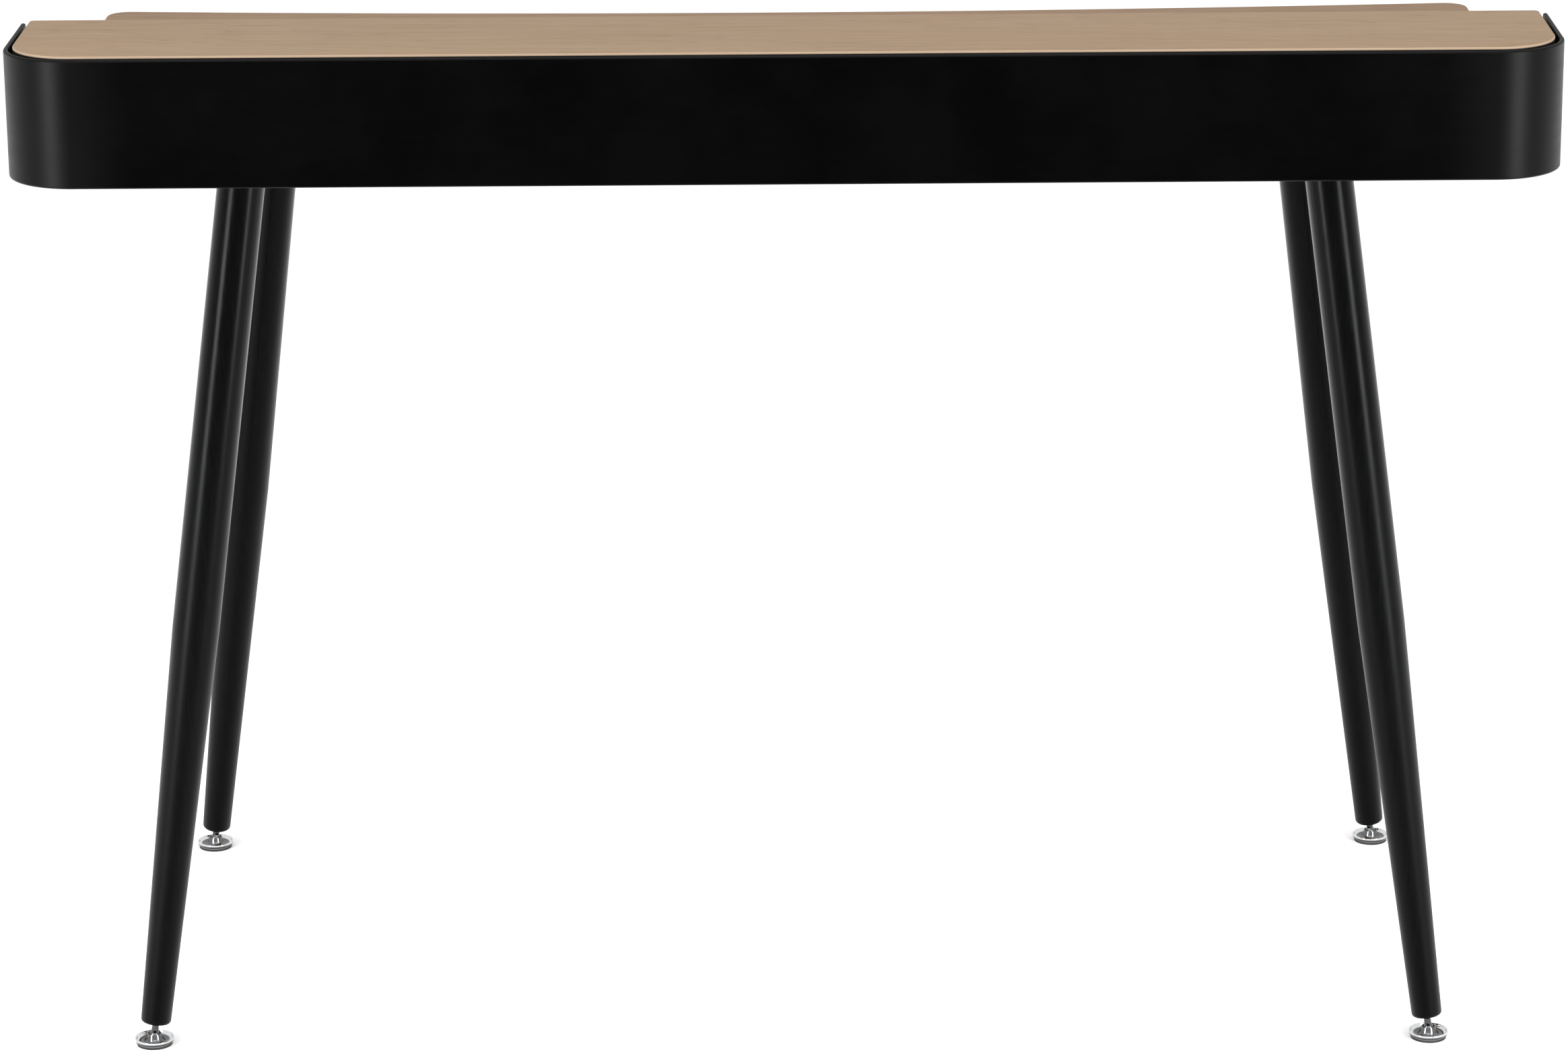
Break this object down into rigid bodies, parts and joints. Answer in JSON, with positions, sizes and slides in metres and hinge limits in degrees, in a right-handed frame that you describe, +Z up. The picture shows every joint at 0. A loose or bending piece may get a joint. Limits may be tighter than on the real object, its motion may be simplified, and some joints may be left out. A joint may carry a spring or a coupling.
{
  "type": "writing desk with drawers",
  "caption": "Desk with an oak writing board, a low raised drawer box along the back wrapped by a black rounded shell, splayed tapered black legs and levelling feet.",
  "frame": {"origin": "on the floor, under the middle of the desk's width and depth", "axes": "+Z up, +X to the writer's right, +Y from the writer towards the black back"},
  "size_m": [1.2, 0.6, 0.832],
  "materials": {
    "oak": "matt oiled oak, grain along the width",
    "drawer_oak": "plain oak, lightly sealed",
    "black_steel": "satin black paint",
    "black_wood": "satin black lacquer on turned beech",
    "black_stain": "matt black stain",
    "chrome": "polished",
    "zinc": "zinc plated",
    "rubber": "matt"
  },
  "bodies": {
    "desk_frame": {"back_shell": "black_steel", "top_panel": "oak", "writing_board": "oak", "carcass_end_right": "black_stain", "carcass_end_left": "black_stain", "carcass_back": "black_stain", "divider_left": "black_stain", "divider_right": "black_stain", "runner_left_inner": "black_stain", "runner_left_outer": "black_stain", "drawer_stop_left": "black_stain", "drawer_bumper_left": "rubber", "runner_right_inner": "black_stain", "runner_right_outer": "black_stain", "drawer_stop_right": "black_stain", "drawer_bumper_right": "rubber", "leg_front_left": "black_wood", "leg_plate_front_left": "zinc", "leg_bolt_front_left": "zinc", "leg_insert_front_left": "zinc", "leg_front_right": "black_wood", "leg_plate_front_right": "zinc", "leg_bolt_front_right": "zinc", "leg_insert_front_right": "zinc", "leg_rear_left": "black_wood", "leg_plate_rear_left": "zinc", "leg_bolt_rear_left": "zinc", "leg_insert_rear_left": "zinc", "leg_rear_right": "black_wood", "leg_plate_rear_right": "zinc", "leg_bolt_rear_right": "zinc", "leg_insert_rear_right": "zinc"},
    "drawer_left": {"drawer_left_front": "oak", "drawer_left_side_inner": "drawer_oak", "drawer_left_side_outer": "drawer_oak", "drawer_left_back": "drawer_oak", "drawer_left_bottom": "drawer_oak", "drawer_left_pull": "black_steel", "drawer_left_pull_screw": "zinc"},
    "drawer_right": {"drawer_right_front": "oak", "drawer_right_side_inner": "drawer_oak", "drawer_right_side_outer": "drawer_oak", "drawer_right_back": "drawer_oak", "drawer_right_bottom": "drawer_oak", "drawer_right_pull": "black_steel", "drawer_right_pull_screw": "zinc"},
    "foot_stem_front_left": {"foot_stem_front_left": "chrome"},
    "foot_dish_front_left": {"foot_dish_front_left": "chrome", "foot_pad_front_left": "rubber"},
    "foot_stem_front_right": {"foot_stem_front_right": "chrome"},
    "foot_dish_front_right": {"foot_dish_front_right": "chrome", "foot_pad_front_right": "rubber"},
    "foot_stem_rear_left": {"foot_stem_rear_left": "chrome"},
    "foot_dish_rear_left": {"foot_dish_rear_left": "chrome", "foot_pad_rear_left": "rubber"},
    "foot_stem_rear_right": {"foot_stem_rear_right": "chrome"},
    "foot_dish_rear_right": {"foot_dish_rear_right": "chrome", "foot_pad_rear_right": "rubber"}
  },
  "joints": [
    {"name": "drawer_left_slide", "type": "slide", "parent": "desk_frame", "child": "drawer_left", "axis": [0, -1, 0], "range_m": [0, 0.09]},
    {"name": "drawer_right_slide", "type": "slide", "parent": "desk_frame", "child": "drawer_right", "axis": [0, -1, 0], "range_m": [0, 0.09]},
    {"name": "foot_front_left_height", "type": "slide", "parent": "desk_frame", "child": "foot_stem_front_left", "axis": [-0.1278, -0.0916, -0.9876], "range_m": [0, 0.01]},
    {"name": "foot_front_left_tilt", "type": "hinge", "parent": "foot_stem_front_left", "child": "foot_dish_front_left", "pos_m": [-0.5195, -0.233, 0.0076], "axis": [0.5825, -0.8129, 0], "range_deg": [-8, 8]},
    {"name": "foot_front_right_height", "type": "slide", "parent": "desk_frame", "child": "foot_stem_front_right", "axis": [0.1278, -0.0916, -0.9876], "range_m": [0, 0.01]},
    {"name": "foot_front_right_tilt", "type": "hinge", "parent": "foot_stem_front_right", "child": "foot_dish_front_right", "pos_m": [0.5195, -0.233, 0.0076], "axis": [0.5825, 0.8129, 0], "range_deg": [-8, 8]},
    {"name": "foot_rear_left_height", "type": "slide", "parent": "desk_frame", "child": "foot_stem_rear_left", "axis": [-0.1278, 0.0916, -0.9876], "range_m": [0, 0.01]},
    {"name": "foot_rear_left_tilt", "type": "hinge", "parent": "foot_stem_rear_left", "child": "foot_dish_rear_left", "pos_m": [-0.5195, 0.233, 0.0076], "axis": [-0.5825, -0.8129, 0], "range_deg": [-8, 8]},
    {"name": "foot_rear_right_height", "type": "slide", "parent": "desk_frame", "child": "foot_stem_rear_right", "axis": [0.1278, 0.0916, -0.9876], "range_m": [0, 0.01]},
    {"name": "foot_rear_right_tilt", "type": "hinge", "parent": "foot_stem_rear_right", "child": "foot_dish_rear_right", "pos_m": [0.5195, 0.233, 0.0076], "axis": [-0.5825, 0.8129, 0], "range_deg": [-8, 8]}
  ]
}
